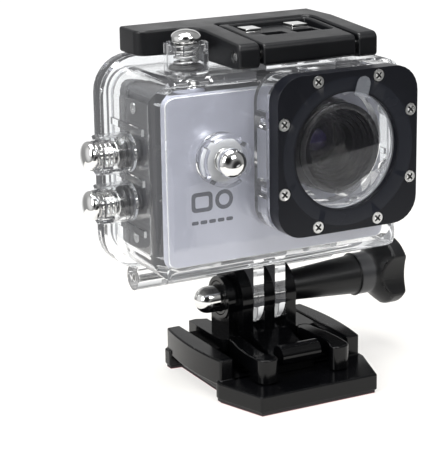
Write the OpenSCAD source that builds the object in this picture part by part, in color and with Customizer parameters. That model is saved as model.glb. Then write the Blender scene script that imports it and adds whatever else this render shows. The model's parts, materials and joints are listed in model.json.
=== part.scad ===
// Action camera in a clear underwater housing, on a quick-release clip and an adhesive base.
//
// Axes: X to the right of the camera as seen from the front, Y to the back, Z up.
// Origin: centre of the underside of the adhesive pad. All lengths in millimetres.
// The camera looks along -Y. The housing tilts about the clamp screw, which runs along X.

/* [Which piece] */

/* [Adhesive base] */
// Thickness of the adhesive pad
pad_t = 0.8; // [0.5:0.1:1]
// Thickness of the base plate
plate_t = 4.2; // [3.8:0.1:4.4]
// Length of the base plate, front to back
plate_len = 43; // [42:0.5:46]
// Width of the front edge of the base plate
plate_front_w = 32.2; // [28:0.2:36]
// Width of the base plate across its shoulders
plate_w = 40.8; // [40:0.2:41.6]
// Height of the rail tops above the ground
rail_top = 10.3; // [9.9:0.1:10.6]
// Clear width between the rails
rail_gap = 32; // [32:0.1:32.4]

/* [Tilt joint] */
// Distance from the origin back to the clamp screw
pivot_y = 10.3; // [10.1:0.1:10.6]
// Height of the clamp screw above the ground
pivot_z = 19.9; // [19.8:0.1:20.1]
// Radius of the finger tips
finger_r = 7.5; // [7:0.1:7.6]
// Thickness of each finger
finger_t = 2.9; // [2.6:0.05:2.95]
// Distance between neighbouring finger centres
finger_pitch = 3.05; // [3.02:0.01:3.1]
// Diameter of the clamp bolt
bolt_d = 5; // [4:0.1:5]

/* [Housing] */
// Width of the housing body
case_w = 68; // [67.6:0.1:68.2]
// Height of the underside of the housing above the ground
case_bottom = 30.5; // [30.3:0.1:30.6]
// Height of the top of the housing above the ground
case_top = 78.8; // [78.6:0.1:79]
// Wall thickness at the sides of the housing
wall_t = 2.5; // [2.3:0.1:2.5]
// Width of the flange and the back door
flange_w = 73; // [72:0.5:75]

/* [Lens port] */
// Distance of the lens axis to the right of the middle
lens_x = 12; // [11.6:0.1:12.2]
// Height of the lens axis above the ground
lens_z = 59.5; // [59.3:0.1:59.6]
// Width of the lens bezel
bezel_w = 38.6; // [38.2:0.1:39]
// Diameter of the clear opening in the bezel
port_d = 28.4; // [27.6:0.1:28.6]

/* [Push buttons] */
// Diameter of each button stem
stem_d = 3; // [2.6:0.1:3]

/* [Camera] */
// Width of the camera body
cam_w = 59.3; // [58.5:0.1:59.6]
// Height of the camera body
cam_h = 41.1; // [40.5:0.1:41.4]
// Depth of the camera body without the lens
cam_d = 22; // [21.6:0.1:22]
// Diameter of the camera's lens barrel
barrel_d = 22; // [21:0.1:22.4]

/* [Hidden] */
$fn = 48;

// Running clearances
gap = 0.1;          // sliding faces
bore_clear = 0.08;  // radial, round a turning or sliding stem

// Base
plate_z0 = pad_t;
plate_z1 = pad_t + plate_t;
plate_y0 = -plate_len / 2;
plate_y1 = plate_len / 2;
shoulder_y = -7.5;          // where the front chamfer meets the rails
rail_mid = 20.9;            // half-width of the rails at the bulge
rail_end = 19.6;            // half-width of the rails at their ends
rail_z0 = 3.8;              // underside of the rails
lip_in = 15.3;              // inner half-width at the rail lip
lip_z = 7.9;                // underside of the lip

// Quick-release clip
clip_z0 = plate_z1 + gap;
deck_z = 8.8;               // top of the clip's deck
shoulder_z = 11.3;          // top of the clip's shoulders and arms
flange_half = rail_gap / 2 - gap;
flange_z1 = lip_z - gap;
arm_root_y = 2.2;           // hinge line of the release arms
arm_root_x = 9.8;
arm_root_r = 1.9;
bar_half = 5.3;             // half-width of the clip's front bar
flange_front = 4.8;         // front edge of the clip's sliding flange

// Clamp
boss_x0 = -10.6;            // outer face of the nut seat
nut_x0 = -17.1;             // tip of the dome nut
nut_d = 6.7;
stack_half = 2 * finger_pitch + finger_t / 2;   // half-width of the finger stack
collar_x0 = 28.6;           // collar at the end of the knob's shank
shank_x1 = 32.4;
knob_x1 = 41;
knob_r = 9;
bolt_x0 = -13.2;

// Housing
case_front = -4.5;
wall_front = 2;
wall_top = 2.4;
flange_y0 = 18.5;
flange_y1 = 20.3;
door_y0 = 20.6;
rim_y1 = 24.6;              // back of the door's rim
door_y1 = 26.2;             // back of the door's raised panel
door_in_y = 24;             // inner face of the door
flange_z0 = 28.3;
flange_z2 = 81.3;
case_mid = (case_bottom + case_top) / 2;
cav_w = case_w - 2 * wall_t;
cav_z0 = case_bottom + wall_top;
cav_z1 = case_top - wall_top;
cav_y0 = case_front + wall_front;
flange_mid = (flange_z0 + flange_z2) / 2;
flange_h = flange_z2 - flange_z0;

// Door hinge
hinge_y = 22;
hinge_z = 24.8;
hinge_r = 3.2;
hinge_half = 28.5;
knuckle_half = 20.1;
hinge_pin_d = 2;

// Lens port
box_y0 = -10.3;             // front of the clear lens box
box_half_w = 20.1;
box_half_h = 19;
bezel_y0 = -14.5;
bezel_h = 38.8;
bezel_r = 6.5;
pane_d = 30.8;
pane_y0 = -12.15;
pane_y1 = -10.95;
screw_near = 8.33;
screw_far = 17.5;
screw_xz = [[-screw_near, screw_far], [screw_near, screw_far], [screw_far, screw_near],
            [screw_far, -screw_near], [screw_near, -screw_far], [-screw_near, -screw_far],
            [-screw_far, -screw_near], [-screw_far, screw_near]];

// Latch
latch_pin_y = -4.3;
latch_pin_z = 83;
latch_pin_d = 2;
lever_x0 = -28.6;
lever_x1 = 24.5;
arm_l = [-13.2, -7.7];
arm_r = [19.3, 24.5];
lever_y0 = 15.3;
lever_y1 = 26.5;
lever_z0 = 81.5;
lever_z1 = 87.6;
cheek_x = [-6.8, 18.3];
cheek_y1 = 16.5;            // back of the latch base
tray_x = [-4.4, 17];
tray_y = [1, 14.6];
tray_z = 85;
track_y = [7.4, 11.6];
slide_travel = 2;

// Camera
cam_x = -0.5;
cam_z0 = 33.6;
cam_y0 = -2.1;
cam_y1 = cam_y0 + cam_d;
cam_mid = cam_z0 + cam_h / 2;
cover_d = 3;                // depth of the front and rear covers
frame_y0 = cam_y0 + cover_d;
frame_y1 = cam_y1 - cover_d;
cover_t = 1.2;
frame_wall = 1.6;
barrel_y0 = -9.9;
batt_x = [-14, 20];
batt_y = [2.6, 13.4];
frame_screw_y = 12.4;
frame_screw_z = [38.2, 70];

// Push buttons: [cup diameter, cup height, cap diameter, cap underside, cap top,
//                stem tip, number of seals, wall thickness], heights from the wall's inner face
shutter_k = [10.6, 9.2, 7.2, 9.5, 12.4, -1.1, 1, wall_top];
power_k = [12.8, 6, 7.1, 6.8, 10.5, -0.3, 1, wall_front];
side_k = [9.8, 10.7, 7.2, 11.8, 14.5, -0.9, 2, wall_t];
cup_floor = 2.8;
cup_wall = 1;
clip_recess = 1.2;
seal_wire = 1.4;
shutter_at = [-20.4, 6, cav_z1];
power_at = [-17.3, cav_y0, 59.5];
side_y = 10.5;
up_z = 60.2;
down_z = 48.2;

// ---- Helpers ----

// Points along an arc, from angle a0 to angle a1
function arc(cx, cy, r, a0, a1, n = 6) =
    [for (i = [0:n]) [cx + r * cos(a0 + (a1 - a0) * i / n), cy + r * sin(a0 + (a1 - a0) * i / n)]];

// Outline of a rectangle with round corners, centred on a point
function round_rect(w, h, r, cx = 0, cy = 0, n = 7) = concat(
    arc(cx + w / 2 - r, cy + h / 2 - r, r, 0, 90, n),
    arc(cx - w / 2 + r, cy + h / 2 - r, r, 90, 180, n),
    arc(cx - w / 2 + r, cy - h / 2 + r, r, 180, 270, n),
    arc(cx + w / 2 - r, cy - h / 2 + r, r, 270, 360, n));

// A flat outline pushed along one axis, from position a to position b
module along_x(a, b) { translate([a, 0, 0]) rotate([90, 0, 90]) linear_extrude(b - a) children(); }
module along_y(a, b) { translate([0, b, 0]) rotate([90, 0, 0]) linear_extrude(b - a) children(); }
module along_z(a, b) { translate([0, 0, a]) linear_extrude(b - a) children(); }

// A block given by its ranges along X, Y and Z
module block(x, y, z) {
    translate([x[0], y[0], z[0]]) cube([x[1] - x[0], y[1] - y[0], z[1] - z[0]]);
}

// Round bars along X and Y through a point
module bar_x(d, a, b, y, z) { translate([a, y, z]) rotate([0, 90, 0]) cylinder(d = d, h = b - a); }
module bar_y(d, a, b, x, z) { translate([x, a, z]) rotate([-90, 0, 0]) cylinder(d = d, h = b - a); }

// One copy as drawn and one mirrored to the other side
module both_sides() { children(); mirror([1, 0, 0]) children(); }

// Coil of round wire about Z, from height z0 to z1
module coil(r, wire, z0, z1, turns) {
    steps = 20;
    sides = 6;
    n = ceil(turns * steps);
    rise = z1 - z0 - wire;
    pts = [for (i = [0:n], s = [0:sides - 1])
        let (a = 360 * i / steps, q = 360 * s / sides, rr = r + wire / 2 * cos(q))
        [rr * cos(a), rr * sin(a), z0 + wire / 2 + rise * i / n + wire / 2 * sin(q)]];
    skin = [for (i = [0:n - 1], s = [0:sides - 1])
        let (t = (s + 1) % sides)
        [i * sides + s, i * sides + t, (i + 1) * sides + t, (i + 1) * sides + s]];
    ends = [[for (s = [sides - 1:-1:0]) s], [for (s = [0:sides - 1]) n * sides + s]];
    polyhedron(pts, [for (f = concat(skin, ends)) [for (k = [len(f) - 1:-1:0]) f[k]]]);
}

// ---- Adhesive base ----

module plate_outline(inset = 0) {
    f = plate_front_w / 2 - inset;
    w = plate_w / 2 - inset;
    polygon([[-f, plate_y0 + inset], [f, plate_y0 + inset], [w, shoulder_y - 1], [w, shoulder_y + 1],
             [rail_gap / 2 + 1.5 - inset, shoulder_y + 2.5], [rail_gap / 2 + 1.5 - inset, plate_y1 - 3],
             [w, plate_y1 - 3 + inset], [w, plate_y1 - inset],
             [-w, plate_y1 - inset], [-w, plate_y1 - 3 + inset],
             [-rail_gap / 2 - 1.5 + inset, plate_y1 - 3], [-rail_gap / 2 - 1.5 + inset, shoulder_y + 2.5],
             [-w, shoulder_y + 1], [-w, shoulder_y - 1]]);
}

module adhesive_pad() {
    color("red") along_z(0, pad_t) plate_outline(0.4);
}

// One side rail: bulged outside, straight inside, with a lip over the clip's flange
module rail() {
    bulge = [for (i = [0:12]) let (t = i / 12)
        [rail_end + (rail_mid - rail_end) * 4 * t * (1 - t), shoulder_y + (plate_y1 - shoulder_y) * t]];
    along_z(rail_z0, rail_top)
        polygon(concat([[rail_gap / 2, shoulder_y]], bulge, [[rail_gap / 2, plate_y1]]));
    block([lip_in, rail_gap / 2 + 0.5], [shoulder_y + 2, plate_y1 - 1], [lip_z, rail_top - 0.7]);
    // Stop in front of the clip's flange
    block([lip_in, rail_gap / 2 + 0.5], [flange_front - 1.6, flange_front - gap],
          [plate_z1 - 0.5, lip_z + 0.2]);
}

module base_plate() {
    color("black") {
        along_z(plate_z0, plate_z1) plate_outline();
        both_sides() rail();
    }
}

// ---- Quick-release clip ----

// One finger: round tip on the clamp axis, with a web that runs to height z
module finger(x, z) {
    t = finger_t;
    bar_x(2 * finger_r, x - t / 2, x + t / 2, pivot_y, pivot_z);
    low = min(z, pivot_z);
    high = max(z, pivot_z);
    block([x - t / 2, x + t / 2], [pivot_y - finger_r + 0.2, pivot_y + finger_r - 0.2], [low, high]);
}

module shoulder_outline() {
    polygon(concat([[13.6, 6], [13.6, plate_y1 - 0.6], [11.6, plate_y1 - 0.2], [8.8, plate_y1 - 1.4],
                    [8.4, 8]],
                   arc(arm_root_x, arm_root_y, arm_root_r + gap, 153, 27, 8),
                   [[13.1, arm_root_y + 1.3]]));
}

module clip_body() {
    color("black") difference() {
        union() {
            block([-flange_half, flange_half], [flange_front, plate_y1], [clip_z0, flange_z1]);
            block([-15, 15], [flange_front, plate_y1 - 2], [flange_z1 - 0.5, deck_z]);
            both_sides() along_z(deck_z - 0.5, shoulder_z) shoulder_outline();
            // Foot of the fingers, and the tongue that runs forward to the front bar
            block([-7.3, 7.3], [-1, plate_y1 - 4], [clip_z0 + 0.05, deck_z + 0.1]);
            block([-7.4, 7.4], [3.3, 17.3], [deck_z - 0.5, 12]);
            along_x(-bar_half, bar_half)
                polygon([[-9.5, clip_z0], [4.5, clip_z0], [4.5, 11.8], [2.6, 11.8], [0.6, 10.8],
                         [-7.5, 8.6], [-9.5, 8.6]]);
            bar_x(5, -bar_half, bar_half, -10.6, 10.1);
            for (x = [-2, 0, 2]) finger(x * finger_pitch, deck_z - 0.5);
            bar_x(10.9, boss_x0, -stack_half + 0.2, pivot_y, pivot_z);
            block([boss_x0 + 0.4, -stack_half + 0.2], [pivot_y - 4.6, pivot_y + 4.6],
                  [deck_z - 0.5, pivot_z]);
        }
        // Flat under the front bar
        block([-7, 7], [-14, -9.4], [clip_z0 - 1, 7.6]);
        // Clamp bolt hole and the seat of the dome nut
        bar_x(bolt_d + 0.2, boss_x0 - 1, stack_half + 1, pivot_y, pivot_z);
        bar_x(8.8, boss_x0 - 1, boss_x0 + 2, pivot_y, pivot_z);
    }
}

// Left arm, drawn with its root round on the flex line and its tip block standing on the plate
module arm_shape() {
    difference() {
        union() {
            along_z(clip_z0, shoulder_z)
                polygon(concat([[-arm_root_x + 1.8, arm_root_y - 0.4], [-8.3, -2.5], [-8.9, -6],
                                [-8.8, -10], [-8.2, -12]], arc(-9.1, -13.7, 1.7, 360, 275, 6),
                               arc(-10.2, -12.9, 2.5, 265, 190, 6),
                               [[-12.9, -8], [-12.6, -4], [-arm_root_x - 1.8, arm_root_y - 0.4]]));
            translate([-arm_root_x, arm_root_y, clip_z0])
                cylinder(r = arm_root_r, h = shoulder_z - clip_z0);
        }
        // Hollow under the middle of the arm
        block([-16, -8], [-9.5, -4.6], [clip_z0 - 1, 7.4]);
    }
}

module release_arm_left() { color("black") arm_shape(); }
module release_arm_right() { color("black") mirror([1, 0, 0]) arm_shape(); }

module dome_nut() {
    centre = nut_x0 + nut_d / 2;
    color("silver") difference() {
        union() {
            bar_x(8.6, boss_x0 + 0.05, boss_x0 + 1.9, pivot_y, pivot_z);
            bar_x(nut_d, centre, boss_x0 + 1, pivot_y, pivot_z);
            translate([centre, pivot_y, pivot_z]) intersection() {
                sphere(d = nut_d);
                block([-nut_d, 1], [-5, 5], [-5, 5]);
            }
        }
        bar_x(bolt_d + 2 * bore_clear, bolt_x0 - 0.1, boss_x0 + 3, pivot_y, pivot_z);
    }
}

module clamp_bolt() {
    color("silver") difference() {
        union() {
            bar_x(bolt_d, bolt_x0, shank_x1 + 1, pivot_y, pivot_z);
            bar_x(8, shank_x1 + 1, shank_x1 + 4, pivot_y, pivot_z);
        }
        translate([shank_x1 + 2, pivot_y, pivot_z]) rotate([0, 90, 0]) cylinder(d = 4.6, h = 3, $fn = 6);
    }
}

// Tapered shank, a collar, and a head that flares out to three lobes with a hollow between each pair
module clamp_knob() {
    lobes = 3;
    hollow_r = 12;
    hollow_depth = 2.8;
    flare = [for (i = [0:8]) let (t = i / 8) [5.4 + (knob_r - 5.4) * t * t * (2 - t), shank_x1 + 4.6 * t]];
    color("black") difference() {
        translate([0, pivot_y, pivot_z]) rotate([0, 90, 0]) rotate_extrude($fn = 72)
            polygon(concat([[0, stack_half + gap], [3.7, stack_half + gap], [5.1, collar_x0],
                            [5.4, collar_x0 + 0.01]],
                           flare, [[knob_r, knob_x1 - 0.8], [knob_r - 0.8, knob_x1], [0, knob_x1]]));
        bar_x(bolt_d + 0.02, 0, shank_x1 + 2, pivot_y, pivot_z);
        bar_x(8.02, shank_x1 + 1, knob_x1 + 1, pivot_y, pivot_z);
        // First hollow faces the front
        translate([0, pivot_y, pivot_z]) for (i = [0:lobes - 1])
            rotate([90 + i * 360 / lobes, 0, 0])
                translate([shank_x1 + 1.4, 0, hollow_r + knob_r - hollow_depth])
                    rotate([0, 90, 0]) cylinder(r = hollow_r, h = 13, $fn = 96);
    }
}

// ---- Push buttons, drawn along +Z from the inner face of the wall ----

module cup_add(k) { translate([0, 0, k[7] - 0.5]) cylinder(d = k[0], h = k[1] - k[7] + 0.5); }

module cup_cut(k) {
    translate([0, 0, -1]) cylinder(d = stem_d + 2 * bore_clear, h = cup_floor + 2);
    translate([0, 0, -1]) cylinder(d = 6.6, h = clip_recess + 1);
    translate([0, 0, cup_floor]) cylinder(d = k[0] - 2 * cup_wall, h = k[1]);
    // Side slots in the cup wall
    for (a = [45:90:315]) rotate([0, 0, a])
        translate([k[0] / 2 - cup_wall - 0.2, -1, k[1] - 2.4]) cube([2, 2, 3]);
}

module plunger(k) {
    head = k[4] - k[3];
    skirt = head * 0.4;
    ball = (k[2] * k[2] / 4 + (head - skirt) * (head - skirt)) / (2 * (head - skirt));
    difference() {
        union() {
            translate([0, 0, k[5]]) cylinder(d = stem_d, h = k[3] - k[5] + 0.5);
            translate([0, 0, k[3]]) cylinder(d = k[2], h = skirt);
            translate([0, 0, k[3] + skirt]) intersection() {
                translate([0, 0, head - skirt - ball]) sphere(r = ball);
                cylinder(d = k[2] - 0.02, h = head);
            }
        }
        // Groove for the retaining clip
        translate([0, 0, 0.62]) difference() {
            cylinder(d = stem_d + 1, h = 0.56);
            translate([0, 0, -1]) cylinder(d = stem_d - 0.8, h = 3);
        }
    }
}

function seal_top(k) = cup_floor + 0.05 + k[6] * (seal_wire + 0.05);

module button_spring(k) {
    span = k[3] - seal_top(k) - 0.1;
    coil(2.75, 0.55, seal_top(k) + 0.05, k[3] - 0.05, max(2, round(span / 1.25)) + 0.5);
}

// Rubber rings that fill the cup round the stem
module button_seals(k) {
    inner = stem_d / 2 + bore_clear;
    outer = k[0] / 2 - cup_wall - 0.03;
    for (i = [0:k[6] - 1]) translate([0, 0, cup_floor + 0.05 + seal_wire / 2 + i * (seal_wire + 0.05)])
        rotate_extrude() translate([(inner + outer) / 2, 0])
            scale([(outer - inner) / seal_wire, 1]) circle(d = seal_wire);
}

module button_clip() {
    translate([0, 0, 0.65]) difference() {
        cylinder(d = 5.6, h = 0.5);
        translate([0, 0, -1]) cylinder(d = stem_d - 0.76, h = 3);
        translate([0, -0.8, -1]) cube([5, 1.6, 3]);
    }
}

module at_shutter() { translate(shutter_at) children(); }
module at_power() { translate(power_at) rotate([90, 0, 0]) children(); }
module at_side(z) { translate([-cav_w / 2, side_y, z]) rotate([0, -90, 0]) children(); }

module shutter_plunger() { color("silver") at_shutter() plunger(shutter_k); }
module shutter_spring() { color("silver") at_shutter() button_spring(shutter_k); }
module shutter_seal() { color("black") at_shutter() button_seals(shutter_k); }
module shutter_clip() { color("gray") at_shutter() button_clip(); }
module power_plunger() { color("silver") at_power() plunger(power_k); }
module power_spring() { color("silver") at_power() button_spring(power_k); }
module power_seal() { color("gray") at_power() button_seals(power_k); }
module power_clip() { color("gray") at_power() button_clip(); }
module up_plunger() { color("silver") at_side(up_z) plunger(side_k); }
module up_spring() { color("silver") at_side(up_z) button_spring(side_k); }
module up_seals() { color("black") at_side(up_z) button_seals(side_k); }
module up_clip() { color("gray") at_side(up_z) button_clip(); }
module down_plunger() { color("silver") at_side(down_z) plunger(side_k); }
module down_spring() { color("silver") at_side(down_z) button_spring(side_k); }
module down_seals() { color("black") at_side(down_z) button_seals(side_k); }
module down_clip() { color("gray") at_side(down_z) button_clip(); }

// ---- Housing ----

// Body outline seen from the front
module case_outline(inset = 0, r = 6) {
    polygon(round_rect(case_w - 2 * inset, case_top - case_bottom - 2 * inset, r, 0, case_mid));
}

// Body with its vertical and horizontal front edges rounded
module case_body() {
    r = 4.5;
    intersection() {
        along_y(case_front, flange_y1) case_outline();
        along_z(case_bottom - 1, case_top + 1)
            polygon(concat([[case_w / 2, flange_y1], [-case_w / 2, flange_y1]],
                           arc(-case_w / 2 + r, case_front + r, r, 180, 270, 7),
                           arc(case_w / 2 - r, case_front + r, r, 270, 360, 7)));
        along_x(-case_w, case_w)
            polygon(concat([[flange_y1, case_bottom], [flange_y1, case_top]],
                           arc(case_front + 2.5, case_top - 2.5, 2.5, 90, 180, 5),
                           arc(case_front + 2.5, case_bottom + 2.5, 2.5, 180, 270, 5)));
    }
}

module flange_outline(inset = 0) {
    polygon(round_rect(flange_w - 2 * inset, flange_h - 2 * inset, 9 - inset, 0, flange_mid));
}

module lens_box_outline(inset = 0) {
    polygon(round_rect(2 * (box_half_w - inset), 2 * (box_half_h - inset), bezel_r - inset,
                       lens_x, lens_z));
}

module front_shell() {
    tube_d = port_d + 4;
    color("white", 0.4) difference() {
        union() {
            difference() {
                union() {
                    case_body();
                    along_y(flange_y0, flange_y1) flange_outline();
                    along_y(box_y0, case_front + 1) lens_box_outline();
                }
                // Room for the camera
                along_y(cav_y0, flange_y1 + 1)
                    polygon(round_rect(cav_w, cav_z1 - cav_z0, 4, 0, (cav_z0 + cav_z1) / 2));
                // Hollow of the lens box
                along_y(box_y0 - 1, case_front) lens_box_outline(2);
            }
            // Tube round the camera's lens, and the bosses for the bezel screws
            bar_y(tube_d, box_y0, case_front + 1, lens_x, lens_z);
            for (s = screw_xz) bar_y(4.4, box_y0, case_front + 0.5, lens_x + s[0], lens_z + s[1]);
            // Seat under the latch
            block([cheek_x[0] + 3, cheek_x[1] - 3], [-3, 9], [case_top - 0.5, 80.9]);
            // Hanging fingers of the tilt joint
            for (x = [-1, 1]) finger(x * finger_pitch, case_bottom + 0.5);
            // Hinge knuckles under the flange
            both_sides() {
                bar_x(2 * hinge_r, knuckle_half + 0.2, hinge_half, hinge_y, hinge_z);
                block([knuckle_half + 0.2, hinge_half], [hinge_y - hinge_r - 0.2, flange_y1],
                      [hinge_z, flange_z0 + 2]);
            }
            // Stiffening ribs along both sides
            for (z = [41, 53.3, 65.5]) both_sides()
                block([case_w / 2 - 0.5, case_w / 2 + 0.7], [1.5, flange_y0 + 0.5], [z, z + 1.6]);
            at_shutter() cup_add(shutter_k);
            at_power() cup_add(power_k);
            for (z = [up_z, down_z]) at_side(z) cup_add(side_k);
        }
        bar_y(port_d, box_y0 - 1, cav_y0 + 1, lens_x, lens_z);
        for (s = screw_xz) bar_y(1.5, box_y0 - 1, box_y0 + 4, lens_x + s[0], lens_z + s[1]);
        bar_x(bolt_d + 0.2, -5, 5, pivot_y, pivot_z);
        both_sides() bar_x(hinge_pin_d + 0.04, knuckle_half - 1, hinge_half - 1, hinge_y, hinge_z);
        block([1, 5], [-2, 8], [79.3, 82]);
        block([7, 11], [-2, 8], [79.3, 82]);
        at_shutter() cup_cut(shutter_k);
        at_power() cup_cut(power_k);
        for (z = [up_z, down_z]) at_side(z) cup_cut(side_k);
    }
}

module lens_bezel() {
    color("black") difference() {
        along_y(bezel_y0, box_y0) polygon(round_rect(bezel_w, bezel_h, bezel_r, lens_x, lens_z));
        bar_y(port_d, bezel_y0 - 1, box_y0 + 1, lens_x, lens_z);
        bar_y(pane_d + 0.2, pane_y0 - 0.05, box_y0 + 1, lens_x, lens_z);
        // Shallow dish round the opening
        translate([lens_x, bezel_y0 - 0.01, lens_z]) rotate([-90, 0, 0])
            cylinder(d1 = 36, d2 = 29.4, h = 0.9);
        for (s = screw_xz) {
            bar_y(3.3, bezel_y0 - 1, bezel_y0 + 1.1, lens_x + s[0], lens_z + s[1]);
            bar_y(1.8, bezel_y0, box_y0 + 1, lens_x + s[0], lens_z + s[1]);
        }
    }
}

module bezel_screws() {
    color("silver") for (s = screw_xz)
        translate([lens_x + s[0], bezel_y0, lens_z + s[1]]) rotate([-90, 0, 0]) difference() {
            union() {
                translate([0, 0, 0.1]) cylinder(d = 2.9, h = 0.98);
                cylinder(d = 1.46, h = 7.6);
            }
            for (a = [45, 135]) rotate([0, 0, a]) translate([-0.95, -0.2, -1]) cube([1.9, 0.4, 1.6]);
        }
}

module lens_window() { color("white", 0.3) bar_y(pane_d, pane_y0, pane_y1, lens_x, lens_z); }

module window_seal() {
    color("gray") difference() {
        bar_y(pane_d, pane_y1, box_y0, lens_x, lens_z);
        bar_y(port_d + 0.2, pane_y1 - 1, box_y0 + 1, lens_x, lens_z);
    }
}

// Thin film on the window, with a pull tab that bends over the bezel at the upper right
module lens_film() {
    t = 0.12;
    color("white", 0.5) {
        bar_y(port_d - 0.8, pane_y0 - t, pane_y0, lens_x, lens_z);
        translate([lens_x, 0, lens_z]) rotate([0, 14, 0]) {
            block([-1.9, 1.9], [bezel_y0 - t, pane_y0], [13.2, 13.2 + 0.3]);
            along_y(bezel_y0 - t, bezel_y0)
                polygon(concat([[-1.9, 13.2], [1.9, 13.2]], arc(0, 16.4, 1.9, 0, 180, 8)));
        }
    }
}

module back_door() {
    color("white", 0.4) difference() {
        union() {
            along_y(door_y0, rim_y1) flange_outline();
            along_y(rim_y1 - 0.5, door_y1) flange_outline(3.2);
            // Middle knuckle of the hinge
            bar_x(2 * hinge_r, -knuckle_half, knuckle_half, hinge_y, hinge_z);
            block([-knuckle_half, knuckle_half], [hinge_y - 1, hinge_y + 2.2], [hinge_z, flange_z0 + 1]);
        }
        // Pocket over the camera's back, leaving four pressing ribs
        difference() {
            along_y(door_y0 - 1, door_in_y)
                polygon(round_rect(cav_w - 1, cav_z1 - cav_z0 - 1, 4, 0, (cav_z0 + cav_z1) / 2));
            for (x = [-26, 26], z = [40, 66])
                block([x - 1, x + 1], [door_y0 - 1, door_in_y + 1], [z - 3, z + 3]);
        }
        // Groove for the door seal
        along_y(door_y0 - 1, door_y0 + 0.6) difference() {
            polygon(round_rect(67.4, 47.6, 6.2, 0, flange_mid));
            polygon(round_rect(63.8, 44, 4.6, 0, flange_mid));
        }
        bar_x(hinge_pin_d + 2 * bore_clear, -knuckle_half - 1, knuckle_half + 1, hinge_y, hinge_z);
    }
}

module door_seal() {
    color("gray") along_y(flange_y1 + 0.05, door_y0 + 0.58) difference() {
        polygon(round_rect(67.2, 47.4, 6.1, 0, flange_mid));
        polygon(round_rect(64, 44.2, 4.7, 0, flange_mid));
    }
}

module door_hinge_pin() {
    color("silver") bar_x(hinge_pin_d, 1 - hinge_half, hinge_half - 1, hinge_y, hinge_z);
}

// ---- Latch ----

// Side view of the lever: rounded nose round the pin, a thin neck and a thicker back bar
module lever_side() {
    polygon(concat(arc(-6.4, 81.2, 0.9, 270, 180, 4), arc(-5.6, 84.5, 1.7, 180, 96, 5),
                   [[14, lever_z1], [lever_y1 - 0.8, lever_z1], [lever_y1, lever_z1 - 0.8],
                    [lever_y1, lever_z0], [lever_y0 + 0.3, lever_z0], [lever_y0 - 4, 80], [-4, 80]]));
}

// Plan of the lever: back bar with rounded ends, and two arms with the latch base between them
module lever_plan() {
    fillet = 5;
    difference() {
        polygon(concat(arc(lever_x0 + 1.5, lever_y1 - 1.5, 1.5, 90, 180, 4),
                       arc(lever_x0 + 2.5, lever_y0 + 2.5, 2.5, 180, 270, 5),
                       arc(arm_l[0] - fillet, lever_y0 - fillet, fillet, 90, 0, 6),
                       [[arm_l[0], -8], [lever_x1, -8]],
                       arc(lever_x1 - 1.5, lever_y1 - 1.5, 1.5, 0, 90, 4)));
        polygon(concat([[arm_l[1], -9], [arm_l[1], 12]], arc(arm_l[1] + 2, cheek_y1 - 1.7, 2, 180, 90, 4),
                       arc(arm_r[0] - 2, cheek_y1 - 1.7, 2, 90, 0, 4), [[arm_r[0], -9]]));
    }
}

module latch_lever() {
    color("black") difference() {
        intersection() {
            along_x(lever_x0 - 1, lever_x1 + 1) lever_side();
            along_z(lever_z0 - 5, lever_z1 + 1) lever_plan();
        }
        bar_x(latch_pin_d + 2 * bore_clear, -20, 30, latch_pin_y, latch_pin_z);
        // Groove under the bar, over the door's edge
        block([-24, 20], [21, 24.4], [lever_z0 - 1, lever_z0 + 1.2]);
    }
}

module latch_base() {
    nose = 1.4;
    color("black") difference() {
        along_x(cheek_x[0], cheek_x[1])
            polygon(concat([[-7.2, 80.9], [-7.4, 81.1]], arc(-7.4 + nose, 85.9 - nose, nose, 180, 94, 5),
                           [[12, 87.3], [cheek_y1 - 0.7, 87.3], [cheek_y1 - 0.1, 86.4],
                            [cheek_y1 - 0.1, 82], [15.4, 80.9]]));
        // Rounded back corners
        both_corners() along_z(80, 88) difference() {
            translate([-0.01, 0]) square([1.8, 2]);
            translate([1.8, 0]) circle(r = 1.8);
        }
        // Tray for the lock slider, with a deeper track
        block(tray_x, tray_y, [tray_z, 90]);
        block([tray_x[0] + 1, tray_x[1] - 0.6], track_y, [tray_z - 1.6, tray_z + 1]);
        bar_x(latch_pin_d + 0.04, -20, 30, latch_pin_y, latch_pin_z);
    }
}

// One copy at the left back corner of the latch base and one mirrored at the right
module both_corners() {
    translate([cheek_x[0], cheek_y1 - 1.8, 0]) children();
    translate([cheek_x[1], cheek_y1 - 1.8, 0]) mirror([1, 0, 0]) children();
}

module latch_pin() {
    color("silver") bar_x(latch_pin_d, arm_l[0] + 0.3, arm_r[1] - 0.3, latch_pin_y, latch_pin_z);
}

// Thin plate on a rail, with two raised pads at the back and two openings in front of them
module lock_slider() {
    x0 = tray_x[0] + 0.4;
    x1 = tray_x[1] - slide_travel - 0.2;
    color("black") difference() {
        union() {
            block([x0 + 1, x1 - 1], [track_y[0] + 0.1, track_y[1] - 0.1], [tray_z - 1.5, tray_z + 0.4]);
            block([x0, x1], [tray_y[0] + 0.4, tray_y[1] - 0.4], [tray_z + 0.1, tray_z + 1.1]);
            for (x = [x0 + 1, x1 - 5])
                block([x, x + 4.2], [tray_y[1] - 6.4, tray_y[1] - 1.8], [tray_z + 0.5, tray_z + 1.9]);
        }
        // Finger openings
        for (x = [x0 + 3.4, x1 - 7])
            block([x, x + 6], [tray_y[0] + 1.4, tray_y[0] + 5], [tray_z, tray_z + 2]);
    }
}

// ---- Camera ----

module cam_outline(inset = 0, r = 2.2) {
    polygon(round_rect(cam_w - 2 * inset, cam_h - 2 * inset, r - inset / 2, cam_x, cam_mid));
}

module front_cover() {
    color("silver") difference() {
        along_y(cam_y0, frame_y0) cam_outline();
        along_y(cam_y0 + cover_t, frame_y0 + 1) cam_outline(cover_t);
        bar_y(barrel_d + 0.6, cam_y0 - 1, frame_y0 + 1, lens_x, lens_z);
        bar_y(6.3, cam_y0 - 1, frame_y0 + 1, power_at[0], power_at[2]);
    }
}

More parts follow.
